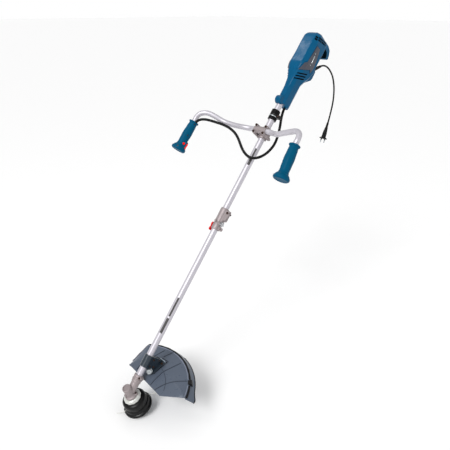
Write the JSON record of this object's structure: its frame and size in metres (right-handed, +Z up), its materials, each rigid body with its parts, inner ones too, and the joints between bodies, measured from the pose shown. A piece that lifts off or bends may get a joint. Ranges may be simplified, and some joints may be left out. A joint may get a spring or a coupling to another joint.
{
  "type": "string trimmer",
  "caption": "Electric brush cutter style string trimmer with a two-piece shaft, bicycle handlebar, guard, bevel gear head and bump-feed spool, on a mains cord.",
  "frame": {"origin": "on the shaft's axis at the middle of the harness clamp, which carries the tool", "axes": "+Z up with the shaft 50 degrees below the horizontal, +X to the operator's left, +Y rearward to the motor"},
  "size_m": [0.6202, 1.2721, 1.3776],
  "materials": {
    "blue_plastic": "glossy moulded nylon",
    "grip_plastic": "fine-grained soft plastic",
    "badge_plastic": "satin moulded plastic",
    "black_plastic": "satin moulded nylon",
    "cable_rubber": "matt rubber sheath",
    "red_plastic": "glossy moulded plastic",
    "guard_plastic": "satin moulded polypropylene",
    "bracket_paint": "satin dark paint",
    "silver_tube": "satin lacquered",
    "cast_alloy": "fine cast and tumbled",
    "steel": "turned",
    "dark_steel": "browned",
    "zinc": "zinc plated",
    "copper": "lacquered windings",
    "nylon_line": "translucent nylon"
  },
  "bodies": {
    "motor_unit": {"motor_housing_left": "blue_plastic", "motor_housing_right": "blue_plastic", "rear_cover": "blue_plastic", "badge_left": "badge_plastic", "badge_right": "badge_plastic", "stator": "copper", "front_bearing": "steel", "rear_bearing": "steel", "cord_gland": "black_plastic", "mains_cord": "cable_rubber", "mains_plug": "black_plastic", "control_cable": "cable_rubber", "upper_tube": "silver_tube", "harness_sleeve": "black_plastic", "harness_band": "steel", "harness_screw": "dark_steel", "bar_clamp_cap": "cast_alloy", "bar_clamp_base": "cast_alloy", "bar_clamp_bottom": "cast_alloy", "bar_clamp_bolt_1": "dark_steel", "bar_clamp_bolt_2": "dark_steel", "bar_clamp_bolt_3": "dark_steel", "bar_clamp_bolt_4": "dark_steel", "coupling_body": "cast_alloy", "coupling_bolt": "dark_steel", "locating_pin": "zinc"},
    "rotor": {"armature": "steel", "cooling_fan": "black_plastic", "upper_drive_shaft": "steel"},
    "handlebar_unit": {"handlebar": "silver_tube", "left_grip": "grip_plastic", "switch_grip_inner": "grip_plastic", "switch_grip_outer": "grip_plastic"},
    "trigger": {"trigger": "red_plastic"},
    "lock_button": {"lock_button": "red_plastic"},
    "clamp_knob": {"clamp_knob": "zinc"},
    "release_lever": {"release_lever": "red_plastic"},
    "lower_unit": {"lower_tube": "silver_tube", "gearbox_housing": "cast_alloy", "spindle_bearing": "steel", "guard": "guard_plastic", "line_cutter": "dark_steel", "guard_clamp_cap": "bracket_paint", "guard_bracket": "bracket_paint", "clamp_bolt_upper": "dark_steel", "clamp_bolt_lower": "dark_steel", "foot_bolt_left": "dark_steel", "foot_bolt_right": "dark_steel"},
    "lower_drive": {"lower_drive_shaft": "steel", "pinion": "steel"},
    "cutting_head": {"output_spindle": "steel", "crown_gear": "steel", "flange_cup": "zinc", "spool_housing": "black_plastic", "spool_cover": "black_plastic", "line_spool": "black_plastic", "cutting_line_front": "nylon_line", "cutting_line_rear": "nylon_line", "bump_spring": "steel"},
    "bump_knob": {"bump_knob": "black_plastic"}
  },
  "joints": [
    {"name": "rotor_spin", "type": "hinge", "parent": "motor_unit", "child": "rotor", "pos_m": [0, 0, 0], "axis": [0, 0.6428, 0.766], "continuous": true},
    {"name": "handlebar_tilt", "type": "hinge", "parent": "motor_unit", "child": "handlebar_unit", "pos_m": [0, -0.07826, -0.0466], "axis": [1, 0, 0], "range_deg": [-12, 12], "deforming": ["control_cable"]},
    {"name": "trigger_squeeze", "type": "hinge", "parent": "handlebar_unit", "child": "trigger", "pos_m": [-0.26133, -0.27317, -0.13345], "axis": [0.3726, -0.7412, 0.5585], "range_deg": [0, 8], "stiffness_Nm_per_rad": 1.2, "springref_deg": -6.88},
    {"name": "lock_press", "type": "slide", "parent": "handlebar_unit", "child": "lock_button", "axis": [-0.9668, 0.2394, -0.0898], "range_m": [0, 0.003], "stiffness_N_per_m": 400, "springref_m": -0.003},
    {"name": "knob_turn", "type": "hinge", "parent": "motor_unit", "child": "clamp_knob", "pos_m": [0.028, -0.33009, -0.38094], "axis": [1, 0, 0], "range_deg": [0, 720]},
    {"name": "release_press", "type": "slide", "parent": "motor_unit", "child": "release_lever", "axis": [1, 0, 0], "range_m": [0, 0.002], "stiffness_N_per_m": 600, "springref_m": -0.002},
    {"name": "lower_pull", "type": "slide", "parent": "motor_unit", "child": "lower_unit", "axis": [0, -0.6428, -0.766], "range_m": [0, 0.055]},
    {"name": "lower_drive_spin", "type": "hinge", "parent": "lower_unit", "child": "lower_drive", "pos_m": [0, -0.56951, -0.67871], "axis": [0, 0.6428, 0.766], "continuous": true},
    {"name": "head_spin", "type": "hinge", "parent": "lower_unit", "child": "cutting_head", "pos_m": [0, -0.8022, -0.95602], "axis": [0, -0.3746, 0.9272], "continuous": true},
    {"name": "bump_press", "type": "slide", "parent": "cutting_head", "child": "bump_knob", "axis": [0, -0.3746, 0.9272], "range_m": [0, 0.006], "stiffness_N_per_m": 900, "springref_m": -0.003, "deforming": ["bump_spring"]}
  ],
  "couplings": [
    {"joint": "lower_drive_spin", "follows": "rotor_spin", "ratio": 1},
    {"joint": "head_spin", "follows": "rotor_spin", "ratio": -0.73684}
  ]
}
